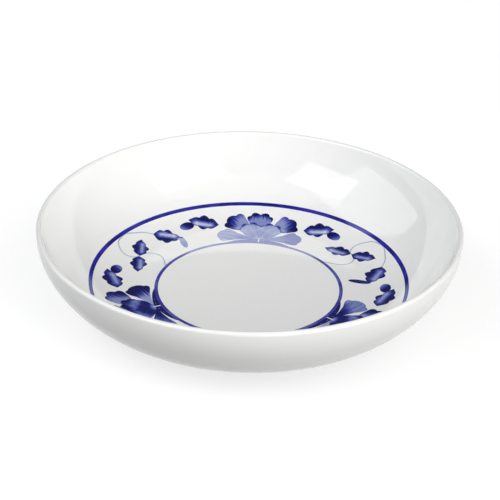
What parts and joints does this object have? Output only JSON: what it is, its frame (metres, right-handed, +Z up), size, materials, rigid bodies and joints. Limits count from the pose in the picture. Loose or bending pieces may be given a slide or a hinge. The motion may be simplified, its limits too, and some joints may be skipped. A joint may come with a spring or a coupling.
{
  "type": "soy sauce dish",
  "caption": "Small round condiment dish with a curved wall, a full round lip, a foot ring and a blue flower scroll printed round the well.",
  "frame": {"origin": "on the table plane, at the middle of the foot ring", "axes": "+Z up along the dish's axis; +Y towards the back of the picture, where one of the three flowers lies"},
  "size_m": [0.095, 0.095, 0.0204],
  "materials": {
    "body_white": "polished white melamine",
    "sheet_white": "white printed paper under clear gloss resin",
    "line_ink": "cobalt blue ink under clear gloss resin",
    "dark_ink": "dark cobalt blue ink under clear gloss resin",
    "petal_ink": "mid cobalt blue ink under clear gloss resin",
    "pale_ink": "pale cobalt blue ink under clear gloss resin",
    "leaf_ink": "dark cobalt blue ink under clear gloss resin",
    "stem_ink": "thin pale blue ink under clear gloss resin"
  },
  "bodies": {
    "root": {"dish_body": "body_white", "printed_sheet": "sheet_white", "outer_line": "line_ink", "inner_line": "line_ink", "sepals": "dark_ink", "fan_petals": "petal_ink", "heart_petals": "pale_ink", "crown_petals": "dark_ink", "spray_leaves": "leaf_ink", "bud_leaves": "petal_ink", "scroll_leaves": "leaf_ink", "scroll_stems": "stem_ink"}
  },
  "joints": []
}
